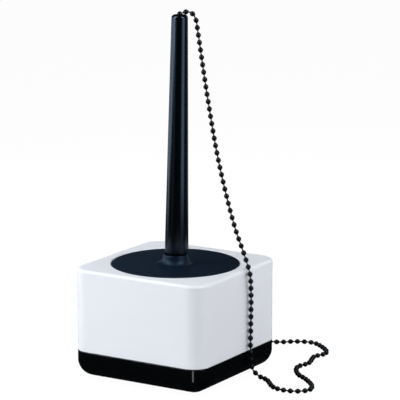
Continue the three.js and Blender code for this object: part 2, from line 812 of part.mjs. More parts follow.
function chainStretch(firstBead, endBead) {
  const half = BEAD_PITCH / 2 - SEAT_GAP / 2;
  const stations = [];
  for (let bead = firstBead; bead < endBead; bead++) {
    const middle = (bead + 0.5) * BEAD_PITCH;
    const start = bead === firstBead ? middle - half : middle - BEAD_PITCH / 2;
    stations.push([start, LINK_RADIUS]);
    beadRings.forEach(([place, radius]) => stations.push([middle + place, radius]));
  }
  stations.push([(endBead - 0.5) * BEAD_PITCH + half, LINK_RADIUS]);
  return stacked(sweptRings(stations));
}

// Rings across the chain's route, each turned as little as possible from the last.
function sweptRings(stations) {
  let across = new THREE.Vector3(0, 1, 0);
  return stations.map(([distance, radius]) => {
    const share = distance / chainLength;
    const along = chainRoute.getTangentAt(share);
    const centre = chainRoute.getPointAt(share);
    across = across.clone().addScaledVector(along, -across.dot(along)).normalize();
    const other = new THREE.Vector3().crossVectors(along, across);
    return Array.from({ length: CHAIN_SIDES }, (_, i) => {
      const angle = (2 * Math.PI * i) / CHAIN_SIDES;
      return centre
        .clone()
        .addScaledVector(across, radius * Math.cos(angle))
        .addScaledVector(other, radius * Math.sin(angle));
    });
  });
}

// The first bead of the stretch that lies on the table.
function firstFloorBead() {
  const landing = FLOOR_POINTS[0][0];
  const middleOf = (bead) => chainRoute.getPointAt(((bead + 0.5) * BEAD_PITCH) / chainLength);
  let bead = 0;
  while (middleOf(bead).x < landing) {
    bead++;
  }
  return bead;
}

const finish = (color, roughness, metalness) =>
  new THREE.MeshStandardMaterial({ color, roughness, metalness });

const materials = {
  whiteShell: finish("#e6e8ef", 0.35, 0),
  blackShell: finish("#06070a", 0.12, 0),
  satinBlack: finish("#1a232b", 0.5, 0),
  penBlack: finish("#0a0e16", 0.25, 0),
  chainBlack: finish("#07090c", 0.3, 0.6),
  rubber: finish("#17181a", 0.85, 0),
  castIron: finish("#55575a", 0.6, 0.8),
  steel: finish("#b4b7bb", 0.35, 1),
  brass: finish("#b8944d", 0.3, 1),
  refill: finish("#d8d3c2", 0.4, 0),
};

function place(group, name, geometry, material) {
  const mesh = new THREE.Mesh(geometry, material);
  mesh.name = name;
  group.add(mesh);
  return mesh;
}

function stand() {
  const group = new THREE.Group();
  place(group, "housing", housing(), materials.whiteShell);
  place(group, "base_pan", basePan(), materials.blackShell);
  place(group, "socket_plate", socketPlate(), materials.satinBlack);
  place(group, "ballast_block", ballastBlock(), materials.castIron);
  screwPlaces.forEach(([x, y], i) => {
    place(group, `foot_pad_${i + 1}`, footPad(), materials.rubber).position.set(x, y, 0);
    place(group, `pan_screw_${i + 1}`, panScrew(), materials.steel).position.set(x, y, 0);
  });
  place(group, "chain_anchor", chainAnchor(), materials.steel);
  place(group, "anchor_screw", anchorScrew(), materials.steel);
  return group;
}

function pen() {
  const group = new THREE.Group();
  place(group, "pen_barrel", penBarrel(), materials.penBlack);
  place(group, "pen_end_plug", penEndPlug(), materials.penBlack);
  place(group, "pen_nose", penNose(), materials.penBlack);
  place(group, "refill_tube", refillTube(), materials.refill);
  place(group, "refill_tip", refillTip(), materials.brass);
  place(group, "writing_ball", writingBall(), materials.steel);
  place(group, "chain_swivel", chainSwivel(), materials.chainBlack);
  group.position.z = penTipHeight;
  group.rotation.y = PEN_LEAN;
  return group;
}

function chain() {
  const group = new THREE.Group();
  const landing = firstFloorBead();
  place(group, "chain_hanging", chainStretch(0, landing), materials.chainBlack);
  place(group, "chain_floor", chainStretch(landing, beadCount), materials.chainBlack);
  return group;
}

const penHolder = new THREE.Group();
penHolder.add(stand(), pen(), chain());

export default penHolder;
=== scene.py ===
"""A desk pen on a ball chain, standing in a weighted square holder.

Metres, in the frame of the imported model: +Z up, the origin in the middle of the footprint on
the table, the wide front face along -Y, and the chain over the +X side.
"""
import json
import math

import bmesh
import bpy
from mathutils import Matrix, Vector


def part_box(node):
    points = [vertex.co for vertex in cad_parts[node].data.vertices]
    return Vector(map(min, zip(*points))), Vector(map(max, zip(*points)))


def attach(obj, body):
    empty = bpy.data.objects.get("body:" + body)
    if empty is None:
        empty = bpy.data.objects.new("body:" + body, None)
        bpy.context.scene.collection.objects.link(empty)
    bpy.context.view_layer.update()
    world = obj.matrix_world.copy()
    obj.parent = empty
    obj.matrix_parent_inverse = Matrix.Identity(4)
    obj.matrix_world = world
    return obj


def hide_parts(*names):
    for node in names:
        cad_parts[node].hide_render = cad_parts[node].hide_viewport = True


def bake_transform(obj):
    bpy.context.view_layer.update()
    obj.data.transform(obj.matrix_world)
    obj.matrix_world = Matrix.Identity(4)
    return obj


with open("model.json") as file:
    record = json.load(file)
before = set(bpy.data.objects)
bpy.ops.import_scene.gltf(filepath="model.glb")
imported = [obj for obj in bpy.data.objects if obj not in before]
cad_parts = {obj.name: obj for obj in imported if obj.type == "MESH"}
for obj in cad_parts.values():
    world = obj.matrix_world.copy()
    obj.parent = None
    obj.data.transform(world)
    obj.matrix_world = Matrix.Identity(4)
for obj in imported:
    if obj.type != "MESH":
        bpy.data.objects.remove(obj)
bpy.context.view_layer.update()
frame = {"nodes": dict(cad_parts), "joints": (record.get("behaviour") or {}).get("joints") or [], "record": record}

MM = 0.001

# What the frame gives: the outer sizes and heights of the pieces
housing_low, housing_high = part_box("housing")
pan_low, pan_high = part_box("base_pan")
plate_low, plate_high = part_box("socket_plate")
foot_low, foot_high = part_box("foot_pad_1")
joints = {joint["name"]: joint for joint in frame["joints"]}
PEN_TIP = Vector(joints["pen_spin"]["pos_m"])
PEN_AXIS = Vector(joints["pen_spin"]["axis"]).normalized()

HALF_SIDE = housing_high.x
STAND_TOP = housing_high.z
HOUSING_BOTTOM = housing_low.z
PAN_BOTTOM = pan_low.z
FOOT_PLACE = (foot_low.x + foot_high.x) / 2
FOOT_HEIGHT = foot_high.z

# Shared fits
SEAT_GAP = 0.3 * MM
PAN_TOP = HOUSING_BOTTOM - SEAT_GAP

# Outer shell: the white housing over the black pan
PLAN_RADIUS = 8.2 * MM
TOP_EDGE_RADIUS = 1.6 * MM
HOUSING_WALL = 2.2 * MM
TOP_THICKNESS = 2.6 * MM
CEILING_FILLET = 0.5 * MM
SEAM_EDGE = 0.15 * MM
PAN_FILLET = 8 * MM
PAN_WALL = 3 * MM
PAN_FLOOR = 2.4 * MM
SHARPEST_CORNER = 0.4 * MM
UPSTAND_HEIGHT = pan_high.z - PAN_TOP
UPSTAND_WALL = 1.5 * MM
FOOT_RECESS_DEPTH = 1 * MM
FOOT_RADIUS = 4 * MM
FOOT_EDGE = 0.3 * MM

# Round opening in the top, with a rounded lip and a ledge that the plate rests on
OPENING_RADIUS = 29.95 * MM
LIP_RADIUS = 0.5 * MM
SKIRT_WALL = 2 * MM
LEDGE_WIDTH = 3.1 * MM
LEDGE_THICKNESS = 2.2 * MM

# Socket plate: disc, flared collar and the socket under it
PLATE_RECESS = 0.2 * MM
PLATE_THICKNESS = 2.2 * MM
PLATE_EDGE_RADIUS = 0.4 * MM
COLLAR_WALL = 0.85 * MM
COLLAR_FLARE = 3.4 * MM
COLLAR_DRAFT = 0.2 * MM
RIM_RADIUS = 0.35 * MM
SOCKET_RADIUS = 4.85 * MM
SOCKET_WALL = 1.6 * MM
SOCKET_END_RADIUS = 3 * MM
SOCKET_FLOOR = 2 * MM

# What stiffens and holds the shells from inside, each four times round the middle
POST_RADIUS = 3.2 * MM
POST_BORE = 1.6 * MM
POST_BORE_LENGTH = 5.7 * MM
RIB_WIDTH = 1.2 * MM
RIB_DEPTH = 1.4 * MM
RIB_SPACING = 24 * MM
GUSSET_THICKNESS = 1.5 * MM
GUSSET_DROP = 24 * MM
HOOK_WIDTH = 6 * MM
HOOK_THICKNESS = 1.5 * MM
HOOK_REACH = 1.4 * MM
HOOK_HEAD = 2.4 * MM
HOOK_CATCH = 0.8 * MM
SNAP_GAP = 0.4 * MM
BOSS_RADIUS = 4.4 * MM
HEAD_ROOM = 2.9 * MM
SCREW_SEAT = 3.8 * MM
ANCHOR_BOSS_RADIUS = 2.8 * MM
ANCHOR_BOSS_PLACE = 18.7 * MM
ANCHOR_BOSS_TOP = 8.9 * MM
ANCHOR_PILOT_RADIUS = 1.2 * MM
ANCHOR_PILOT_BOTTOM = 3.9 * MM
BALLAST_SIDE = 44 * MM
BALLAST_CORNER = 3 * MM
FENCE_HEIGHT = 3 * MM
FENCE_WALL = 1.2 * MM
PLATE_RIB_THICKNESS = 1.2 * MM
PLATE_RIB_DEPTH = 13 * MM

# Pen, measured from its tip
NOSE_LENGTH = 33.1 * MM
NOSE_RADIUS = 4 * MM
NOSE_END_RADIUS = 1.75 * MM
NOSE_CYLINDER = 9 * MM
NOSE_BORE_STEP = 7.5 * MM
BARREL_LENGTH = 111.1 * MM
BARREL_FOOT_RADIUS = 5.5 * MM
BARREL_TOP_RADIUS = 3.75 * MM
BARREL_EDGE = 0.9 * MM
BARREL_TOP_EDGE = 1.3 * MM
SPIGOT_RADIUS = 3 * MM
SPIGOT_LENGTH = 9 * MM
REFILL_BORE = 1.6 * MM
REFILL_TOP = 87.6 * MM
TIP_BORE = 1.1 * MM
TIP_BARE_LENGTH = 3.4 * MM
PLUG_RADIUS = 2.1 * MM
PLUG_LENGTH = 6 * MM
PLUG_CAP = 1.6 * MM
TIP_RADIUS = 0.8 * MM
TIP_LENGTH = 9 * MM
TIP_COLLAR_RADIUS = 1.3 * MM
TIP_COLLAR_HEIGHT = 1.2 * MM
BALL_RADIUS = 0.45 * MM
BALL_GAP = 0.07 * MM
BALL_CUP_WALL = 0.14 * MM
SWIVEL_RISE = 0.4 * MM
SWIVEL_NECK_RADIUS = 0.6 * MM
SWIVEL_FLANGE_RADIUS = 1.2 * MM
SWIVEL_FLANGE_HEIGHT = 0.8 * MM

# Ball chain
BEAD_RADIUS = 1.2 * MM
BEAD_PITCH = 3.4 * MM
LINK_RADIUS = 0.3 * MM
BEAD_LIP_RADIUS = 0.62 * MM
BEAD_LIP_REACH = 0.2 * MM
CHAIN_LENGTH = 371.4 * MM

# The chain's route in millimetres: over the rim of the pen, in a curve down to the edge of the
# housing, down its +X face, out on the table in loose bends and back into the rear of the pan
HANGING_POINTS = [
    (3.8, 0.3, 168.3),
    (6.2, 0.8, 168.9),
    (8.7, 1.3, 168),
    (10.2, 1.6, 165.4),
    (11, 1.8, 160.5),
    (15.6, 2.8, 130.2),
    (21, 3.9, 100.5),
    (28.3, 5.6, 71.6),
    (33.9, 6, 57.2),
    (36.5, 6, 49.5),
    (36.5, 7.1, 38),
    (36.5, 7, 11),
    (37.4, 7.3, 4.4),
]
FLOOR_POINTS = [
    (40.8, 7.3, 1.7),
    (46.4, 4.7, 1.4),
    (55.2, -4, 1.3),
    (61.5, -5.5, 1.3),
    (67.4, -3.8, 1.3),
    (70.9, 0.9, 1.3),
    (68.8, 7.2, 1.3),
    (60.5, 15.7, 1.3),
    (54.8, 19.8, 1.3),
    (49.3, 26.8, 1.3),
    (47.5, 32.3, 1.3),
    (48.8, 39.6, 1.3),
    (46.5, 46.9, 1.3),
    (45.4, 51.6, 1.3),
    (47, 55.9, 1.3),
    (46.7, 60.6, 1.3),
    (40.2, 67.9, 1.3),
    (32.6, 72.2, 1.3),
    (25, 70.1, 1.3),
    (18.2, 64.6, 1.3),
    (9, 61.8, 1.3),
    (3.1, 55.2, 1.4),
    (0.7, 46.4, 1.6),
    (0.1, 41.8, 3.9),
    (0, 36.8, 8.6),
    (0, 31.2, 9.7),
    (0, 25.6, 9.7),
]
ROUTE_STEPS = 10
WAY_OUT_HEIGHT = FLOOR_POINTS[-1][2] * MM
WAY_OUT_GAP = 0.4 * MM
WAY_OUT_RADIUS = BEAD_RADIUS + WAY_OUT_GAP

# Facets
SIDE_STEPS = 30
CORNER_STEPS = 14
FILLET_STEPS = 10
SMALL_FILLET_STEPS = 5
EDGE_STEPS = 3
SUPPORT = 0.4 * MM
PLATE_SEGMENTS = 160
PEN_SEGMENTS = 96
SMALL_SEGMENTS = 48
BEAD_SEGMENTS = 24
BEAD_RINGS = 14
LINK_SEGMENTS = 12
SHARP_ANGLE = math.radians(32)

# Camera: where it looks, from which side, and how long its lens is on a 36 mm sensor
CAMERA_TARGET = Vector((9.47, 6.2, 81.27)) * MM
CAMERA_AZIMUTH = math.radians(31.825)
CAMERA_ELEVATION = math.radians(12.176)
CAMERA_DISTANCE = 1.19225
CAMERA_LENS = 233.19


def new_object(name, mesh):
    obj = bpy.data.objects.new(name, mesh)
    bpy.context.scene.collection.objects.link(obj)
    return obj


def direction(azimuth, elevation):
    """Towards a viewer at that azimuth from -Y, turning to +X, and that elevation."""
    level = math.cos(elevation)
    return Vector((math.sin(azimuth) * level, -math.cos(azimuth) * level, math.sin(elevation)))


def add_camera():
    data = bpy.data.cameras.new("camera")
    data.lens = CAMERA_LENS
    camera = new_object("camera", data)
    back = direction(CAMERA_AZIMUTH, CAMERA_ELEVATION)
    camera.location = CAMERA_TARGET + CAMERA_DISTANCE * back
    camera.rotation_euler = back.to_track_quat("Z", "Y").to_euler()
    bpy.context.scene.camera = camera


# Node helpers for the finishes. The mix node names its sockets alike for each kind of value, so
# the ones for colours go by number

MIX_COLOUR_A = 6
MIX_COLOUR_B = 7
MIX_COLOUR_RESULT = 2


def new_material(name, colour, roughness, metallic=0.0):
    material = bpy.data.materials.new(name)
    material.use_nodes = True
    shader = material.node_tree.nodes["Principled BSDF"]
    shader.inputs["Base Color"].default_value = (*colour, 1)
    shader.inputs["Roughness"].default_value = roughness
    shader.inputs["Metallic"].default_value = metallic
    return material, material.node_tree, shader


def noise(tree, size, detail=2.0):
    """Noise on the piece's own coordinates, with features of about that size."""
    place = tree.nodes.new("ShaderNodeTexCoord")
    pattern = tree.nodes.new("ShaderNodeTexNoise")
    pattern.inputs["Scale"].default_value = 1 / size
    pattern.inputs["Detail"].default_value = detail
    tree.links.new(place.outputs["Object"], pattern.inputs["Vector"])
    return pattern.outputs["Fac"]


def vary_colour(tree, shader, colour, other, fac):
    mix = tree.nodes.new("ShaderNodeMix")
    mix.data_type = "RGBA"
    mix.inputs[MIX_COLOUR_A].default_value = (*colour, 1)
    mix.inputs[MIX_COLOUR_B].default_value = (*other, 1)
    tree.links.new(fac, mix.inputs["Factor"])
    tree.links.new(mix.outputs[MIX_COLOUR_RESULT], shader.inputs["Base Color"])


def vary_roughness(tree, shader, low, high, fac):
    spread = tree.nodes.new("ShaderNodeMapRange")
    spread.inputs["To Min"].default_value = low
    spread.inputs["To Max"].default_value = high
    tree.links.new(fac, spread.inputs["Value"])
    tree.links.new(spread.outputs["Result"], shader.inputs["Roughness"])


def add_grain(tree, shader, height, fac):
    bump = tree.nodes.new("ShaderNodeBump")
    bump.inputs["Distance"].default_value = height
    tree.links.new(fac, bump.inputs["Height"])
    tree.links.new(bump.outputs["Normal"], shader.inputs["Normal"])


def shaded(colour, share):
    return tuple(channel * share for channel in colour)


# Finishes, one function for each slot of the record

def white_shell():
    """Smooth white moulded plastic: an even, slightly cool white with a soft gloss."""
    colour = (0.79, 0.82, 0.879)
    material, tree, shader = new_material("white moulded plastic", colour, roughness=0.34)
    vary_colour(tree, shader, colour, shaded(colour, 0.985), noise(tree, size=9 * MM))
    vary_roughness(tree, shader, low=0.30, high=0.40, fac=noise(tree, size=1.5 * MM))
    add_grain(tree, shader, height=0.004 * MM, fac=noise(tree, size=0.35 * MM))
    return material


def black_shell():
    """High-gloss black plastic of the pan."""
    colour = (0.0007, 0.0014, 0.002)
    material, tree, shader = new_material("gloss black plastic", colour, roughness=0.12)
    vary_colour(tree, shader, colour, shaded(colour, 1.4), noise(tree, size=6 * MM))
    vary_roughness(tree, shader, low=0.10, high=0.17, fac=noise(tree, size=2 * MM))
    add_grain(tree, shader, height=0.002 * MM, fac=noise(tree, size=1.2 * MM))
    return material


def satin_black():
    """Satin blue-black plastic of the socket plate, with a fine spark-eroded grain."""
    colour = (0.0013, 0.0052, 0.0145)
    material, tree, shader = new_material("satin black plastic", colour, roughness=0.45)
    vary_colour(tree, shader, colour, shaded(colour, 0.85), noise(tree, size=7 * MM))
    vary_roughness(tree, shader, low=0.40, high=0.52, fac=noise(tree, size=0.8 * MM))
    add_grain(tree, shader, height=0.008 * MM, fac=noise(tree, size=0.22 * MM))
    shader.inputs["Specular Tint"].default_value = (0.55, 0.8, 1.0, 1.0)
    shader.inputs["Specular IOR Level"].default_value = 0.3
    return material


def pen_black():
    """Polished black plastic of the pen, with a trace of blue."""
    colour = (0.0006, 0.001, 0.0017)
    material, tree, shader = new_material("polished black plastic", colour, roughness=0.22)
    vary_colour(tree, shader, colour, shaded(colour, 1.3), noise(tree, size=5 * MM))
    vary_roughness(tree, shader, low=0.19, high=0.26, fac=noise(tree, size=1.4 * MM))
    add_grain(tree, shader, height=0.002 * MM, fac=noise(tree, size=0.8 * MM))
    shader.inputs["Specular Tint"].default_value = (0.63, 0.78, 1.0, 1.0)
    return material


def chain_black():
    """Black lacquer on the chain's hollow steel beads."""
    colour = (0.0008, 0.0009, 0.0012)
    material, tree, shader = new_material("black lacquered beads", colour, roughness=0.3)
    vary_colour(tree, shader, colour, shaded(colour, 1.8), noise(tree, size=1.2 * MM))
    vary_roughness(tree, shader, low=0.24, high=0.4, fac=noise(tree, size=0.5 * MM))
    add_grain(tree, shader, height=0.004 * MM, fac=noise(tree, size=0.3 * MM))
    shader.inputs["Specular IOR Level"].default_value = 0.25
    return material


def rubber():
    """Matt rubber of the feet."""
    colour = (0.018, 0.018, 0.02)
    material, tree, shader = new_material("matt rubber", colour, roughness=0.85)
    vary_colour(tree, shader, colour, shaded(colour, 1.6), noise(tree, size=0.9 * MM, detail=4))
    vary_roughness(tree, shader, low=0.75, high=0.95, fac=noise(tree, size=0.5 * MM))
    add_grain(tree, shader, height=0.02 * MM, fac=noise(tree, size=0.15 * MM))
    return material


def cast_iron():
    """Raw sand-cast iron of the ballast."""
    colour = (0.12, 0.12, 0.125)
    material, tree, shader = new_material("raw cast iron", colour, roughness=0.6, metallic=1.0)
    vary_colour(tree, shader, colour, (0.16, 0.12, 0.09), noise(tree, size=4 * MM, detail=5))
    vary_roughness(tree, shader, low=0.5, high=0.75, fac=noise(tree, size=1 * MM))
    add_grain(tree, shader, height=0.08 * MM, fac=noise(tree, size=0.5 * MM, detail=5))
    return material


def steel():
    """Zinc-plated steel of the screws, the chain's anchor and the writing ball."""
    colour = (0.5, 0.51, 0.53)
    material, tree, shader = new_material("zinc-plated steel", colour, roughness=0.35, metallic=1.0)
    vary_colour(tree, shader, colour, (0.56, 0.55, 0.5), noise(tree, size=1.5 * MM, detail=3))
    vary_roughness(tree, shader, low=0.28, high=0.42, fac=noise(tree, size=0.4 * MM))
    return material


def brass():
    """Turned brass of the refill's tip: rings along the pen's axis."""
    colour = (0.55, 0.38, 0.13)
    material, tree, shader = new_material("turned brass", colour, roughness=0.3, metallic=1.0)
    place = tree.nodes.new("ShaderNodeTexCoord")
    rings = tree.nodes.new("ShaderNodeTexWave")
    rings.bands_direction = "Z"
    rings.inputs["Scale"].default_value = 1 / (1.2 * MM)
    tree.links.new(place.outputs["Object"], rings.inputs["Vector"])
    vary_colour(tree, shader, colour, shaded(colour, 1.15), noise(tree, size=1 * MM))
    vary_roughness(tree, shader, low=0.24, high=0.36, fac=rings.outputs["Fac"])
    add_grain(tree, shader, height=0.004 * MM, fac=rings.outputs["Fac"])
    return material


def refill_plastic():
    """Milky tube of the refill, with the ink showing through as darker patches."""
    colour = (0.65, 0.62, 0.52)
    material, tree, shader = new_material("milky refill tube", colour, roughness=0.4)
    vary_colour(tree, shader, colour, (0.25, 0.27, 0.36), noise(tree, size=12 * MM))
    vary_roughness(tree, shader, low=0.34, high=0.46, fac=noise(tree, size=1 * MM))
    return material


finishes = {
    "white_shell": white_shell(),
    "black_shell": black_shell(),
    "satin_black": satin_black(),
    "pen_black": pen_black(),
    "chain_black": chain_black(),
    "rubber": rubber(),
    "cast_iron": cast_iron(),
    "steel": steel(),
    "brass": brass(),
    "refill": refill_plastic(),
}


# Shapes

def smoothed(mesh):
    mesh.shade_smooth()
    mesh.set_sharp_from_angle(angle=SHARP_ANGLE)
    return mesh


def mesh_of(shape, name):
    """Closes a bmesh: faces point outwards, and the mesh is shaded smooth but for its edges."""
    bmesh.ops.recalc_face_normals(shape, faces=shape.faces)
    mesh = bpy.data.meshes.new(name)
    shape.to_mesh(mesh)
    shape.free()
    return smoothed(mesh)


def arc(centre, radius, start, end, steps=SMALL_FILLET_STEPS):
    """Points of a round stretch of an outline, with angles in degrees from the radial direction."""
    angles = [math.radians(start + (end - start) * i / steps) for i in range(steps + 1)]
    return [(centre[0] + radius * math.cos(a), centre[1] + radius * math.sin(a)) for a in angles]


def turned(name, outline, segments, closed=False, place=Matrix.Identity(4)):
    """Revolves an outline of (radius, height) about Z. It ends on the axis, or closes on itself."""
    shape = bmesh.new()
    rings = []
    for radius, height in outline:
        count = 1 if radius == 0 else segments
        angles = [2 * math.pi * i / segments for i in range(count)]
        points = [(radius * math.cos(a), radius * math.sin(a), height) for a in angles]
        rings.append([shape.verts.new(place @ Vector(point)) for point in points])
    for lower, upper in zip(rings, rings[1:] + rings[:1] if closed else rings[1:]):
        for i in range(segments):
            j = (i + 1) % segments
            corners = (lower[i % len(lower)], lower[j % len(lower)])
            corners += (upper[j % len(upper)], upper[i % len(upper)])
            corners = list(dict.fromkeys(corners))
            if len(corners) > 2:
                shape.faces.new(corners)
    return mesh_of(shape, name)


def square_directions():
    """Angles of the points round the shell, closer together on its corners."""
    straight = HALF_SIDE - PLAN_RADIUS
    angles = []
    for quarter in range(4):
        points = [
            (
                straight + PLAN_RADIUS * math.cos(i * math.pi / 2 / CORNER_STEPS),
                straight + PLAN_RADIUS * math.sin(i * math.pi / 2 / CORNER_STEPS),
            )
            for i in range(CORNER_STEPS)
        ]
        points += [
            (straight * (1 - 2 * i / SIDE_STEPS), HALF_SIDE) for i in range(SIDE_STEPS)
        ]
        angles += [math.atan2(y, x) + quarter * math.pi / 2 for x, y in points]
    return angles


DIRECTIONS = square_directions()


def round_ring(radius, height):
    return [(radius * math.cos(a), radius * math.sin(a), height) for a in DIRECTIONS]


def square_reach(angle, half, corner):
    """How far a square with round corners reaches from its middle at an angle."""
    long, short = sorted((abs(math.cos(angle)), abs(math.sin(angle))), reverse=True)
    straight = half - corner
    if half * short / long <= straight:
        return half / long
    across = straight * (long + short)
    return across + math.sqrt(across**2 - 2 * straight**2 + corner**2)


def square_ring(half, corner, height):
    corner = max(corner, SHARPEST_CORNER)
    reaches = [square_reach(a, half, corner) for a in DIRECTIONS]
    return [(r * math.cos(a), r * math.sin(a), height) for r, a in zip(reaches, DIRECTIONS)]


def edge_rings(half, corner, fillet, height, lower, steps=FILLET_STEPS):
    """Rings round a filleted edge of a square block, its lower or its upper one."""
    rings = []
    for i in range(steps + 1):
        angle = math.pi / 2 * i / steps
        inset = fillet * (1 - math.sin(angle))
        rise = fillet * (1 - math.cos(angle))
        level = height + rise if lower else height - rise
        rings.append(square_ring(half - inset, corner - inset, level))
    support = fillet + SUPPORT
    rings.append(square_ring(half, corner, height + (support if lower else -support)))
    return rings if lower else rings[::-1]


def stacked(name, rings, closed=False):
    """Joins rings of as many points each. The ends get caps, or are joined if closed."""
    shape = bmesh.new()
    skin = [[shape.verts.new(point) for point in ring] for ring in rings]
    for lower, upper in zip(skin, skin[1:] + skin[:1] if closed else skin[1:]):
        for i in range(len(lower)):
            j = (i + 1) % len(lower)
            shape.faces.new((lower[i], lower[j], upper[j], upper[i]))
    for ring in [] if closed else (skin[0], skin[-1]):
        middle = shape.verts.new((0, 0, ring[0].co.z))
        for i in range(len(ring)):
            shape.faces.new((ring[i], ring[(i + 1) % len(ring)], middle))
    return mesh_of(shape, name)


def block(low, high, turn=0.0):
    """A box between two corners, turned about Z."""
    shape = bmesh.new()
    size = Vector(high) - Vector(low)
    middle = (Vector(high) + Vector(low)) / 2
    place = Matrix.Rotation(turn, 4, "Z") @ Matrix.Translation(middle)
    bmesh.ops.create_cube(shape, size=1, matrix=place @ Matrix.Diagonal((*size, 1)))
    return mesh_of(shape, "block")


def prism(outline, thickness, turn=0.0):
    """A flat outline of (radius, height) in an upright plane through Z, given a thickness."""
    shape = bmesh.new()
    sides = []
    for across in (-thickness / 2, thickness / 2):
        points = [Matrix.Rotation(turn, 4, "Z") @ Vector((r, across, z)) for r, z in outline]
        sides.append([shape.verts.new(point) for point in points])
    for i in range(len(outline)):
        j = (i + 1) % len(outline)
        shape.faces.new((sides[0][i], sides[0][j], sides[1][j], sides[1][i]))
    for side in sides:
        shape.faces.new(side)
    return mesh_of(shape, "prism")


def evaluated(obj):
    """The object's mesh with its modifiers worked out, which are then removed."""
    depsgraph = bpy.context.evaluated_depsgraph_get()
    mesh = bpy.data.meshes.new_from_object(obj.evaluated_get(depsgraph))
    obj.modifiers.clear()
    return mesh


def cut(obj, tools):
    """Cuts tools, which are meshes, out of a piece."""
    cutters = [new_object("cutter", tool) for tool in tools]
    for cutter in cutters:
        modifier = obj.modifiers.new("cut", "BOOLEAN")
        modifier.operation = "DIFFERENCE"
        modifier.solver = "EXACT"
        modifier.object = cutter
    obj.data = smoothed(evaluated(obj))
    for cutter in cutters:
        bpy.data.objects.remove(cutter)
    return obj


def finish_piece(obj, slot, body=None, replaces=()):
    """Gives a piece its finish, and its body if one is given."""
    obj.data.materials.clear()
    obj.data.materials.append(finishes[slot])
    if body:
        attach(obj, body)
    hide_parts(*replaces)
    return obj


# Geometry Nodes

class Tree:
    """A Geometry Nodes tree with named inputs, and short ways to add and join its nodes."""

    def __init__(self, name, **inputs):
        self.tree = bpy.data.node_groups.new(name, "GeometryNodeTree")
        interface = self.tree.interface
        interface.new_socket("Geometry", in_out="INPUT", socket_type="NodeSocketGeometry")
        for label, kind in inputs.items():
            interface.new_socket(label, in_out="INPUT", socket_type="NodeSocket" + kind)
        interface.new_socket("Geometry", in_out="OUTPUT", socket_type="NodeSocketGeometry")
        self.given = self.tree.nodes.new("NodeGroupInput").outputs
        self.result = self.tree.nodes.new("NodeGroupOutput").inputs

    def add(self, kind, settings=(), **inputs):
        """A node, with its inputs by name: other nodes' outputs, or plain values."""
        made = self.tree.nodes.new(kind)
        for name, value in dict(settings).items():
            setattr(made, name, value)
        for name, value in inputs.items():
            socket = made.inputs[int(name[1:]) if name[1:].isdigit() else name.replace("_", " ")]
            if isinstance(value, bpy.types.NodeSocket):
                self.tree.links.new(value, socket)
            else:
                socket.default_value = value
        return made.outputs

    def math(self, operation, first, second):
        return self.add("ShaderNodeMath", {"operation": operation}, _0=first, _1=second)[0]

    def grow(self, obj, **inputs):
        """Runs the tree on an object, with its inputs set, and keeps the result as its mesh."""
        modifier = obj.modifiers.new(self.tree.name, "NODES")
        modifier.node_group = self.tree
        for item in self.tree.interface.items_tree:
            if item.in_out == "INPUT" and item.name in inputs:
                modifier[item.identifier] = inputs[item.name]
        obj.data = evaluated(obj)
        return obj


def bead_chain_tree():
    """Beads on a line at an even pitch, each with the small lips that its links come out of."""
    tree = Tree(
        "beads and links along a route",
        Radius="Float",
        Pitch="Float",
        Link="Float",
        Lip="Float",
        Reach="Float",
        Count="Int",
        Finish="Material",
    )
    given = tree.given
    line = tree.add("GeometryNodeMeshToCurve", Mesh=given["Geometry"])[0]
    index = tree.add("GeometryNodeInputIndex")[0]

    def along(shape, shift):
        """The shape at every pitch of the line, shifted by a share of the pitch."""
        points = tree.add("GeometryNodePoints", Count=given["Count"])[0]
        distance = tree.math("MULTIPLY", tree.math("ADD", index, shift), given["Pitch"])
        sample = tree.add(
            "GeometryNodeSampleCurve",
            {"mode": "LENGTH", "use_all_curves": True},
            Curves=line,
            Length=distance,
        )
        turn = tree.add(
            "FunctionNodeAlignRotationToVector", {"axis": "Z"}, Vector=sample["Tangent"]
        )[0]
        placed = tree.add(
            "GeometryNodeSetPosition", Geometry=points, Position=sample["Position"]
        )[0]
        return tree.add(
            "GeometryNodeInstanceOnPoints", Points=placed, Instance=shape, Rotation=turn
        )[0]

    bead = tree.add(
        "GeometryNodeMeshUVSphere",
        Segments=BEAD_SEGMENTS,
        Rings=BEAD_RINGS,
        Radius=given["Radius"],
    )[0]
    lips = tree.add(
        "GeometryNodeMeshCylinder",
        Vertices=BEAD_SEGMENTS,
        Radius=given["Lip"],
        Depth=given["Reach"],
    )[0]
    link = tree.add(
        "GeometryNodeMeshCylinder",
        Vertices=LINK_SEGMENTS,
        Radius=given["Link"],
        Depth=tree.math("SUBTRACT", given["Pitch"], given["Radius"]),
    )[0]
    join = tree.tree.nodes.new("GeometryNodeJoinGeometry")
    for shape, shift in ((bead, 0.5), (lips, 0.5), (link, 0.0)):
        tree.tree.links.new(along(shape, shift), join.inputs["Geometry"])
    real = tree.add("GeometryNodeRealizeInstances", Geometry=join.outputs["Geometry"])[0]
    painted = tree.add("GeometryNodeSetMaterial", Geometry=real, Material=given["Finish"])[0]
    tree.tree.links.new(painted, tree.result["Geometry"])
    return tree


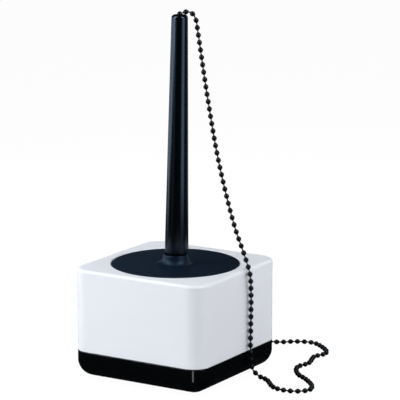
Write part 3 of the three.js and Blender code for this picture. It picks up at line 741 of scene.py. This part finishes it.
def around_tree():
    """A shape set down several times, turned about Z in equal steps."""
    tree = Tree("a shape repeated round the middle", Shape="Object", Count="Int", Finish="Material")
    given = tree.given
    shape = tree.add("GeometryNodeObjectInfo", Object=given["Shape"])["Geometry"]
    points = tree.add("GeometryNodePoints", Count=given["Count"])[0]
    step = tree.math("DIVIDE", 2 * math.pi, given["Count"])
    turn = tree.math("MULTIPLY", tree.add("GeometryNodeInputIndex")[0], step)
    rotation = tree.add("ShaderNodeCombineXYZ", Z=turn)[0]
    many = tree.add(
        "GeometryNodeInstanceOnPoints", Points=points, Instance=shape, Rotation=rotation
    )[0]
    real = tree.add("GeometryNodeRealizeInstances", Geometry=many)[0]
    painted = tree.add("GeometryNodeSetMaterial", Geometry=real, Material=given["Finish"])[0]
    tree.tree.links.new(painted, tree.result["Geometry"])
    return tree


AROUND = around_tree()


def repeated(name, shape, slot, count=4):
    """A new object with the shape, a mesh, in several places round the middle."""
    pattern = new_object("pattern", shape)
    grown = new_object(name, bpy.data.meshes.new(name))
    AROUND.grow(grown, Shape=pattern, Count=count, Finish=finishes[slot])
    bpy.data.objects.remove(pattern)
    return grown


def joined(obj, parts):
    """Adds other objects' meshes to a piece, and removes those objects."""
    shape = bmesh.new()
    shape.from_mesh(obj.data)
    for part in parts:
        shape.from_mesh(part.data)
        bpy.data.objects.remove(part)
    shape.to_mesh(obj.data)
    shape.free()
    smoothed(obj.data)
    return obj


# The ball chain

def spline(points, steps):
    """The centripetal curve through the points, as close points along it."""
    ends = [2 * points[0] - points[1], 2 * points[-1] - points[-2]]
    padded = [ends[0], *points, ends[1]]
    line = []
    for p0, p1, p2, p3 in zip(padded, padded[1:], padded[2:], padded[3:]):
        d0, d1, d2 = ((b - a).length ** 0.5 for a, b in ((p0, p1), (p1, p2), (p2, p3)))
        start = ((p1 - p0) / d0 - (p2 - p0) / (d0 + d1) + (p2 - p1) / d1) * d1
        end = ((p2 - p1) / d1 - (p3 - p1) / (d1 + d2) + (p3 - p2) / d2) * d1
        for i in range(steps):
            t = i / steps
            line.append(
                (2 * t**3 - 3 * t**2 + 1) * p1
                + (t**3 - 2 * t**2 + t) * start
                + (3 * t**2 - 2 * t**3) * p2
                + (t**3 - t**2) * end
            )
    return line + [points[-1]]


def ball_chain():
    route = spline([Vector(p) * MM for p in HANGING_POINTS + FLOOR_POINTS], ROUTE_STEPS)
    line = bpy.data.meshes.new("chain route")
    line.from_pydata(route, [(i, i + 1) for i in range(len(route) - 1)], [])
    chain = new_object("ball_chain", line)
    bead_chain_tree().grow(
        chain,
        Radius=BEAD_RADIUS,
        Pitch=BEAD_PITCH,
        Link=LINK_RADIUS,
        Lip=BEAD_LIP_RADIUS,
        Reach=2 * (math.sqrt(BEAD_RADIUS**2 - BEAD_LIP_RADIUS**2) + BEAD_LIP_REACH),
        Count=int(CHAIN_LENGTH / BEAD_PITCH),
        Finish=finishes["chain_black"],
    )
    smoothed(chain.data)
    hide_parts("chain_hanging", "chain_floor")
    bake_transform(chain)


# The stand

def housing_shell():
    """The white housing: walls, filleted top, round opening with its lip, ledge and skirt."""
    inner_half = HALF_SIDE - HOUSING_WALL
    inner_corner = PLAN_RADIUS - HOUSING_WALL
    ceiling = STAND_TOP - TOP_THICKNESS
    ledge_top = STAND_TOP - PLATE_RECESS - PLATE_THICKNESS - SEAT_GAP
    ledge_bottom = ledge_top - LEDGE_THICKNESS
    skirt = OPENING_RADIUS + SKIRT_WALL
    lip = arc((OPENING_RADIUS + LIP_RADIUS, STAND_TOP - LIP_RADIUS), LIP_RADIUS, 90, 180)
    ceiling_edge = edge_rings(
        inner_half, inner_corner, CEILING_FILLET, ceiling, lower=False, steps=EDGE_STEPS
    )
    return stacked(
        "housing_shell",
        [
            square_ring(inner_half, inner_corner, HOUSING_BOTTOM),
            *edge_rings(
                HALF_SIDE, PLAN_RADIUS, SEAM_EDGE, HOUSING_BOTTOM, lower=True, steps=EDGE_STEPS
            ),
            *edge_rings(HALF_SIDE, PLAN_RADIUS, TOP_EDGE_RADIUS, STAND_TOP, lower=False),
            round_ring(lip[0][0] + SUPPORT, STAND_TOP),
            *(round_ring(radius, height) for radius, height in lip),
            round_ring(OPENING_RADIUS, ledge_top),
            round_ring(OPENING_RADIUS - LEDGE_WIDTH, ledge_top),
            round_ring(OPENING_RADIUS - LEDGE_WIDTH, ledge_bottom),
            round_ring(skirt, ledge_bottom),
            round_ring(skirt, ceiling),
            *reversed(ceiling_edge),
        ],
        closed=True,
    )


def housing_inside():
    """The posts that take the screws, their gussets, and two ribs on each inner face."""
    ceiling = STAND_TOP - TOP_THICKNESS
    inner = HALF_SIDE - HOUSING_WALL
    post = turned(
        "post",
        [
            (0, HOUSING_BOTTOM + POST_BORE_LENGTH),
            (POST_BORE, HOUSING_BOTTOM + POST_BORE_LENGTH),
            (POST_BORE, HOUSING_BOTTOM),
            (POST_RADIUS, HOUSING_BOTTOM),
            (POST_RADIUS, ceiling),
            (0, ceiling),
        ],
        SMALL_SEGMENTS,
        place=Matrix.Translation((FOOT_PLACE, FOOT_PLACE, 0)),
    )
    half = GUSSET_THICKNESS / 2
    start = math.sqrt(2) * FOOT_PLACE
    end = math.sqrt(2) * (HALF_SIDE - PLAN_RADIUS) + PLAN_RADIUS - HOUSING_WALL / 2
    low = (start, -half, STAND_TOP - GUSSET_DROP)
    gusset = block(low, (end, half, ceiling), turn=math.pi / 4)
    bottom = PAN_TOP + UPSTAND_HEIGHT + 2 * SEAT_GAP
    shapes = [post, gusset]
    for side in (-1, 1):
        middle = side * RIB_SPACING / 2
        low = (inner - RIB_DEPTH, middle - RIB_WIDTH / 2, bottom)
        high = (inner + HOUSING_WALL / 2, middle + RIB_WIDTH / 2, ceiling)
        shapes.append(block(low, high))
    return [repeated("inside", shape, "white_shell") for shape in shapes]


def pan_shell():
    """The black pan: a tray with a deep fillet below and an upstand inside the housing."""
    upstand = HALF_SIDE - HOUSING_WALL - SEAT_GAP
    upstand_corner = PLAN_RADIUS - HOUSING_WALL - SEAT_GAP
    upstand_top = PAN_TOP + UPSTAND_HEIGHT
    floor = PAN_BOTTOM + PAN_FLOOR
    inner = upstand - UPSTAND_WALL
    inner_corner = upstand_corner - UPSTAND_WALL
    inner_fillet = PAN_FILLET - PAN_WALL
    bottom_edge = edge_rings(
        HALF_SIDE, PLAN_RADIUS, PAN_FILLET, PAN_BOTTOM, lower=True, steps=2 * FILLET_STEPS
    )
    return stacked(
        "pan_shell",
        [
            *bottom_edge,
            *edge_rings(HALF_SIDE, PLAN_RADIUS, SEAM_EDGE, PAN_TOP, lower=False, steps=EDGE_STEPS),
            square_ring(upstand, upstand_corner, PAN_TOP),
            square_ring(upstand, upstand_corner, upstand_top),
            square_ring(inner, inner_corner, upstand_top),
            *reversed(edge_rings(inner, inner_corner, inner_fillet, floor, lower=True)),
        ],
    )


def corner_places():
    return [(x * FOOT_PLACE, y * FOOT_PLACE) for x, y in ((1, 1), (-1, 1), (-1, -1), (1, -1))]


def rod(radius, bottom, top, x=0.0, y=0.0):
    outline = [(0, bottom), (radius, bottom), (radius, top), (0, top)]
    place = Matrix.Translation((x, y, 0))
    return turned("rod", outline, SMALL_SEGMENTS, place=place)


def base_pan():
    pan = new_object("base_pan_shell", pan_shell())
    recess_top = PAN_BOTTOM + FOOT_RECESS_DEPTH
    recess = FOOT_RADIUS + SEAT_GAP
    tools = [rod(recess, -PAN_WALL, recess_top, x, y) for x, y in corner_places()]
    tools += [rod(HEAD_ROOM, PAN_BOTTOM, SCREW_SEAT, x, y) for x, y in corner_places()]
    way_out = rod(WAY_OUT_RADIUS, -2 * PAN_WALL, 2 * PAN_WALL)
    turn = Matrix.Translation((0, HALF_SIDE, WAY_OUT_HEIGHT)) @ Matrix.Rotation(math.pi / 2, 4, "X")
    way_out.transform(turn)
    return cut(pan, [*tools, way_out])


def pan_inside():
    """The bosses of the four screws and of the chain's anchor, and the fence round the ballast."""
    bottom = PAN_BOTTOM + PAN_FLOOR / 2
    boss = turned(
        "boss",
        [
            (HEAD_ROOM, bottom),
            (BOSS_RADIUS, bottom),
            (BOSS_RADIUS, PAN_TOP),
            (POST_BORE, PAN_TOP),
            (POST_BORE, SCREW_SEAT),
            (HEAD_ROOM, SCREW_SEAT),
        ],
        SMALL_SEGMENTS,
        closed=True,
        place=Matrix.Translation((FOOT_PLACE, FOOT_PLACE, 0)),
    )
    anchor = turned(
        "anchor boss",
        [
            (0, bottom),
            (ANCHOR_BOSS_RADIUS, bottom),
            (ANCHOR_BOSS_RADIUS, ANCHOR_BOSS_TOP),
            (ANCHOR_PILOT_RADIUS, ANCHOR_BOSS_TOP),
            (ANCHOR_PILOT_RADIUS, ANCHOR_PILOT_BOTTOM),
            (0, ANCHOR_PILOT_BOTTOM),
        ],
        SMALL_SEGMENTS,
        place=Matrix.Translation((0, ANCHOR_BOSS_PLACE, 0)),
    )
    inner = BALLAST_SIDE / 2 + SEAT_GAP
    outer = inner + FENCE_WALL
    top = PAN_BOTTOM + PAN_FLOOR + FENCE_HEIGHT
    fence = stacked(
        "fence",
        [
            square_ring(inner, BALLAST_CORNER, bottom),
            square_ring(outer, BALLAST_CORNER + FENCE_WALL, bottom),
            square_ring(outer, BALLAST_CORNER + FENCE_WALL, top),
            square_ring(inner, BALLAST_CORNER, top),
        ],
        closed=True,
    )
    bosses = repeated("bosses", boss, "black_shell")
    return [bosses, new_object("anchor boss", anchor), new_object("fence", fence)]


def socket_plate():
    """The disc with its flared collar, and the socket that the pen's nose goes into."""
    disc = OPENING_RADIUS - SEAT_GAP
    top = STAND_TOP - PLATE_RECESS
    bottom = top - PLATE_THICKNESS
    collar = SOCKET_RADIUS + COLLAR_WALL
    foot = collar + COLLAR_DRAFT
    rim_top = plate_high.z
    socket_bottom = plate_low.z + SOCKET_FLOOR
    edge = (disc - PLATE_EDGE_RADIUS, top - PLATE_EDGE_RADIUS)
    flare = (foot + COLLAR_FLARE, top + COLLAR_FLARE)
    rim = (collar - RIM_RADIUS, rim_top - RIM_RADIUS)
    return turned(
        "socket_plate_disc",
        [
            (0, plate_low.z),
            (SOCKET_END_RADIUS + SOCKET_WALL, plate_low.z),
            (SOCKET_RADIUS + SOCKET_WALL, bottom),
            (disc, bottom),
            *arc(edge, PLATE_EDGE_RADIUS, 0, 90),
            (disc - PLATE_EDGE_RADIUS - SUPPORT, top),
            (flare[0] + SUPPORT, top),
            *arc(flare, COLLAR_FLARE, 270, 180, FILLET_STEPS),
            *arc(rim, RIM_RADIUS, 0, 90),
            (SOCKET_RADIUS, rim_top),
            (SOCKET_RADIUS, bottom),
            (SOCKET_END_RADIUS, socket_bottom),
            (0, socket_bottom),
        ],
        PLATE_SEGMENTS,
    )


def plate_underside():
    """Tapered ribs from the socket to the rim, and hooks that snap under the housing's ledge."""
    plate_bottom = STAND_TOP - PLATE_RECESS - PLATE_THICKNESS
    inside_plate = plate_bottom + PLATE_THICKNESS / 2
    ledge = OPENING_RADIUS - LEDGE_WIDTH
    outer = ledge - SNAP_GAP
    inner = outer - HOOK_THICKNESS
    catch = plate_bottom - LEDGE_THICKNESS - 2 * SEAT_GAP
    rib = [
        (SOCKET_RADIUS + SOCKET_WALL / 2, inside_plate),
        (SOCKET_RADIUS + SOCKET_WALL / 2, plate_bottom - PLATE_RIB_DEPTH),
        (inner, plate_bottom - PLATE_RIB_THICKNESS),
        (inner, inside_plate),
    ]
    hook = [
        (inner, catch - HOOK_HEAD),
        (outer, catch - HOOK_HEAD),
        (outer + HOOK_REACH, catch - HOOK_CATCH),
        (outer + HOOK_REACH, catch),
        (outer, catch),
        (outer, inside_plate),
        (inner, inside_plate),
    ]
    return [
        repeated("rib", prism(rib, PLATE_RIB_THICKNESS), "satin_black"),
        repeated("hook", prism(hook, HOOK_WIDTH, turn=math.pi / 4), "satin_black"),
    ]


def rubber_feet():
    edge = arc((FOOT_RADIUS - FOOT_EDGE, FOOT_EDGE), FOOT_EDGE, 270, 360)
    outline = [(0, 0), *edge, (FOOT_RADIUS, FOOT_HEIGHT), (0, FOOT_HEIGHT)]
    place = Matrix.Translation((FOOT_PLACE, FOOT_PLACE, 0))
    foot = turned("foot", outline, SMALL_SEGMENTS, place=place)
    return repeated("rubber_feet", foot, "rubber")


# The pen, in its own frame: along Z from its tip, then leaned with its axis

PEN_LEAN = math.atan2(PEN_AXIS.x, PEN_AXIS.z)
PEN_PLACE = Matrix.Translation(PEN_TIP) @ Matrix.Rotation(PEN_LEAN, 4, "Y")
BARREL_TOP = NOSE_LENGTH + BARREL_LENGTH


def barrel_radius(height):
    share = (height - NOSE_LENGTH) / BARREL_LENGTH
    return BARREL_FOOT_RADIUS + share * (BARREL_TOP_RADIUS - BARREL_FOOT_RADIUS)


def pen_barrel():
    foot = NOSE_LENGTH + BARREL_EDGE
    top = BARREL_TOP - BARREL_TOP_EDGE
    spigot_top = NOSE_LENGTH + SPIGOT_LENGTH + SEAT_GAP
    spigot_bore = SPIGOT_RADIUS + SEAT_GAP
    plug_bore = PLUG_RADIUS + SEAT_GAP
    plug_floor = BARREL_TOP - PLUG_LENGTH - SEAT_GAP
    return turned(
        "pen_barrel_body",
        [
            (0, REFILL_TOP),
            (REFILL_BORE, REFILL_TOP),
            (REFILL_BORE, spigot_top),
            (spigot_bore, spigot_top),
            (spigot_bore, NOSE_LENGTH),
            *arc((barrel_radius(foot) - BARREL_EDGE, foot), BARREL_EDGE, 270, 360, FILLET_STEPS),
            *arc((barrel_radius(top) - BARREL_TOP_EDGE, top), BARREL_TOP_EDGE, 0, 90, FILLET_STEPS),
            (plug_bore, BARREL_TOP),
            (plug_bore, plug_floor),
            (0, plug_floor),
        ],
        PEN_SEGMENTS,
        place=PEN_PLACE,
    )


def pen_nose():
    shoulder = NOSE_LENGTH - SEAT_GAP
    spigot_top = NOSE_LENGTH + SPIGOT_LENGTH
    return turned(
        "pen_nose_cone",
        [
            (TIP_BORE, TIP_BARE_LENGTH),
            (NOSE_END_RADIUS, TIP_BARE_LENGTH),
            (NOSE_RADIUS, shoulder - NOSE_CYLINDER),
            (NOSE_RADIUS, shoulder),
            (SPIGOT_RADIUS, shoulder),
            (SPIGOT_RADIUS, spigot_top),
            (REFILL_BORE, spigot_top),
            (REFILL_BORE, NOSE_BORE_STEP),
            (TIP_BORE, NOSE_BORE_STEP),
        ],
        SMALL_SEGMENTS,
        closed=True,
        place=PEN_PLACE,
    )


def pen_end_plug():
    """The plug in the barrel's top, with the round hollow that the swivel's ball sits in."""
    bottom = BARREL_TOP - PLUG_LENGTH
    hole = SWIVEL_NECK_RADIUS + SEAT_GAP
    room = SWIVEL_FLANGE_RADIUS + SEAT_GAP
    seat = BEAD_RADIUS + SEAT_GAP
    seat_top = -math.degrees(math.asin(SWIVEL_RISE / seat))
    seat_bottom = -math.degrees(math.acos(hole / seat))
    return turned(
        "pen_end_plug_cap",
        [
            (room, bottom),
            (PLUG_RADIUS, bottom),
            (PLUG_RADIUS, BARREL_TOP),
            *arc((0, BARREL_TOP + SWIVEL_RISE), seat, seat_top, seat_bottom),
            (hole, BARREL_TOP - PLUG_CAP),
            (room, BARREL_TOP - PLUG_CAP),
        ],
        SMALL_SEGMENTS,
        closed=True,
        place=PEN_PLACE,
    )


def chain_swivel():
    """A ball on a neck, with a flange that turns under the plug's cap."""
    flange_top = BARREL_TOP - PLUG_CAP - SEAT_GAP
    centre = BARREL_TOP + SWIVEL_RISE
    neck = -math.degrees(math.acos(SWIVEL_NECK_RADIUS / BEAD_RADIUS))
    return turned(
        "chain_swivel_ball",
        [
            (0, flange_top - SWIVEL_FLANGE_HEIGHT),
            (SWIVEL_FLANGE_RADIUS, flange_top - SWIVEL_FLANGE_HEIGHT),
            (SWIVEL_FLANGE_RADIUS, flange_top),
            (SWIVEL_NECK_RADIUS, flange_top),
            *arc((0, centre), BEAD_RADIUS, neck, 90, 2 * FILLET_STEPS)[:-1],
            (0, centre + BEAD_RADIUS),
        ],
        SMALL_SEGMENTS,
        place=PEN_PLACE,
    )


def refill_tip():
    """The brass tip of the refill, with the cup that the writing ball turns in."""
    cup = BALL_RADIUS + BALL_GAP
    step = TIP_LENGTH - TIP_COLLAR_HEIGHT
    return turned(
        "refill_tip_turned",
        [
            (0, 2 * BALL_RADIUS + BALL_GAP),
            (cup, 2 * BALL_RADIUS + BALL_GAP),
            (cup, BALL_RADIUS),
            (cup + BALL_CUP_WALL, BALL_RADIUS),
            (TIP_RADIUS, TIP_BARE_LENGTH),
            (TIP_RADIUS, step),
            (TIP_COLLAR_RADIUS, step),
            (TIP_COLLAR_RADIUS, TIP_LENGTH),
            (0, TIP_LENGTH),
        ],
        SMALL_SEGMENTS,
        place=PEN_PLACE,
    )


# Light

def lamp(name, place, facing, width, height, radiance, colour=(1, 1, 1)):
    """A rectangle of light that the camera doesn't see. Its power follows from its radiance."""
    data = bpy.data.lights.new(name, "AREA")
    data.shape = "RECTANGLE"
    data.size = width
    data.size_y = height
    data.energy = radiance * math.pi * width * height
    data.color = colour
    light = new_object(name, data)
    light.location = place
    light.rotation_euler = (-facing).to_track_quat("Z", "Y").to_euler()
    light.visible_camera = False
    return light


def softbox(name, turn, elevation, distance, width, height, radiance):
    """Light for the matt surfaces, at that turn from the camera's side, aimed at the middle."""
    towards = direction(CAMERA_AZIMUTH + math.radians(turn), math.radians(elevation))
    light = lamp(name, LIGHT_TARGET + distance * towards, -towards, width, height, radiance)
    light.visible_glossy = False


def reflector(name, turn, low, high, distance, width, radiance, colour=(1, 1, 1)):
    """An upright strip between two heights that shows only as a streak in glossy surfaces."""
    towards = direction(CAMERA_AZIMUTH + math.radians(turn), 0)
    place = distance * towards + Vector((0, 0, (low + high) / 2))
    light = lamp(name, place, -towards, width, high - low, radiance, colour)
    light.visible_diffuse = False


def sight(tree, camera, mirrored, matt):
    """A strength by where a ray comes from: the camera or glass, a mirror, or a matt surface."""
    path = tree.nodes.new("ShaderNodeLightPath").outputs
    seen = tree.nodes.new("ShaderNodeMath")
    seen.operation = "MAXIMUM"
    tree.links.new(path["Is Camera Ray"], seen.inputs[0])
    tree.links.new(path["Is Transmission Ray"], seen.inputs[1])
    strength = None
    for ray, amount in (
        (seen.outputs[0], camera),
        (path["Is Glossy Ray"], mirrored),
        (path["Is Diffuse Ray"], matt),
    ):
        added = tree.nodes.new("ShaderNodeMath")
        added.operation = "MULTIPLY_ADD"
        added.inputs[1].default_value = amount
        added.inputs[2].default_value = 0
        tree.links.new(ray, added.inputs[0])
        if strength is not None:
            tree.links.new(strength, added.inputs[2])
        strength = added.outputs[0]
    return strength


def white_world():
    world = bpy.data.worlds.new("studio")
    world.use_nodes = True
    bpy.context.scene.world = world
    tree = world.node_tree
    strength = sight(tree, 1.0, BACKDROP_IN_MIRRORS, AMBIENT)
    tree.links.new(strength, tree.nodes["Background"].inputs["Strength"])
    tree.nodes["Background"].inputs["Color"].default_value = (1, 1, 1, 1)


def white_floor():
    """A floor that is white to the camera, with a faint shadow, and dim in glossy surfaces."""
    mesh = bpy.data.meshes.new("floor")
    half = FLOOR_SIZE / 2
    corners = [(-half, -half, 0), (half, -half, 0), (half, half, 0), (-half, half, 0)]
    mesh.from_pydata(corners, [], [(0, 1, 2, 3)])
    floor = new_object("floor", mesh)
    material, tree, shader = new_material("white floor", FLOOR_COLOUR, roughness=0.9)
    shader.inputs["Specular IOR Level"].default_value = 0
    glow = tree.nodes.new("ShaderNodeEmission")
    strength = sight(tree, FLOOR_BRIGHTNESS, BACKDROP_IN_MIRRORS, 0)
    tree.links.new(strength, glow.inputs["Strength"])
    mix = tree.nodes.new("ShaderNodeMixShader")
    tree.links.new(sight(tree, FLOOR_GLOW, 1, 0), mix.inputs[0])
    tree.links.new(shader.outputs[0], mix.inputs[1])
    tree.links.new(glow.outputs[0], mix.inputs[2])
    tree.links.new(mix.outputs[0], tree.nodes["Material Output"].inputs["Surface"])
    mesh.materials.append(material)


# The studio: a bright white paper sweep, dimmed where it would show in the black pieces

LIGHT_TARGET = Vector((0, 0, 70)) * MM
BACKDROP_IN_MIRRORS = 0.012
AMBIENT = 0.1
FLOOR_SIZE = 6.0
FLOOR_COLOUR = (0.8, 0.8, 0.8)
FLOOR_BRIGHTNESS = 1.03
FLOOR_GLOW = 0.94

# Each softbox: name, turn from the camera's side, elevation, distance, width, height, radiance
SOFTBOXES = [
    ("left rear softbox", -138, 2, 0.45, 0.4, 0.4, 3.6),
    ("left softbox", -100, 15, 0.45, 0.5, 0.5, 0.9),
    ("left front softbox", -68, 14, 0.5, 0.4, 0.4, 1.7),
    ("front softbox", -22, 24, 0.7, 0.4, 0.4, 2.1),
    ("top softbox", -8, 78, 0.7, 0.5, 0.4, 4.5),
    ("right softbox", 98, 18, 0.45, 0.65, 0.5, 1.72),
]

# Tints of the reflectors' cards
COOL = (0.72, 0.86, 1.0)
BLUE = (0.45, 0.72, 1.0)

# Each reflector: name, turn from the camera's side, low and high end, distance, width, radiance
REFLECTORS = [
    ("left edge strip", -125, 0.03, 0.2, 0.3, 0.14, 1.6, COOL),
    ("left strip", -93, 0.05, 0.22, 0.3, 0.13, 3.2, COOL),
    ("upper left strip", -69, 0.11, 0.24, 0.3, 0.08, 5.5, COOL),
    ("lower left strip", -108, 0.0, 0.05, 0.3, 0.09, 1.9, COOL),
    ("narrow left strip", -48, 0.0, 0.2, 0.3, 0.05, 0.5, COOL),
    ("left shoulder light", -80, 0.26, 0.9, 0.3, 0.09, 16.0, COOL),
    ("right strip", 56, 0.0, 0.22, 0.3, 0.17, 2.3, COOL),
    ("upper right strip", 62, 0.12, 0.24, 0.3, 0.07, 1.2, COOL),
    ("faint right strip", 35, 0.0, 0.2, 0.3, 0.06, 0.4, COOL),
    ("right edge strip", 135, 0.0, 0.22, 0.3, 0.1, 0.8, COOL),
    ("right shoulder light", 54, 0.26, 0.9, 0.3, 0.08, 16.0, COOL),
    ("corner strip", 7, 0.0, 0.012, 0.056, 0.0016, 4.0),
    ("rear right strip", 150, 0.2, 0.27, 0.3, 0.06, 2.5),
    ("rear strip", -168, 0.02, 0.2, 0.6, 0.25, 0.36, BLUE),
]


def studio():
    white_world()
    white_floor()
    for settings in SOFTBOXES:
        softbox(*settings)
    for settings in REFLECTORS:
        reflector(*settings)


# Putting it together

add_camera()
ball_chain()

for shell, inside, slot, replaced in (
    (new_object("housing_shell", housing_shell()), housing_inside(), "white_shell", "housing"),
    (base_pan(), pan_inside(), "black_shell", "base_pan"),
    (
        new_object("socket_plate_disc", socket_plate()),
        plate_underside(),
        "satin_black",
        "socket_plate",
    ),
):
    finish_piece(joined(shell, inside), slot, "stand", [replaced])
feet = [f"foot_pad_{i}" for i in (1, 2, 3, 4)]
finish_piece(rubber_feet(), "rubber", "stand", feet)
for shape, slot, body, replaced in (
    (pen_barrel(), "pen_black", "pen", "pen_barrel"),
    (pen_nose(), "pen_black", "pen", "pen_nose"),
    (pen_end_plug(), "pen_black", "pen", "pen_end_plug"),
    (refill_tip(), "brass", "pen", "refill_tip"),
    (chain_swivel(), "chain_black", "chain_end", "chain_swivel"),
):
    finish_piece(new_object(shape.name, shape), slot, body, [replaced])

for part in frame["record"]["subparts"]:
    carried = frame["nodes"][part["node"]]
    for slot in carried.material_slots:
        slot.material = finishes[part["material_slot"]]

studio()
bpy.context.scene.view_settings.view_transform = "Standard"
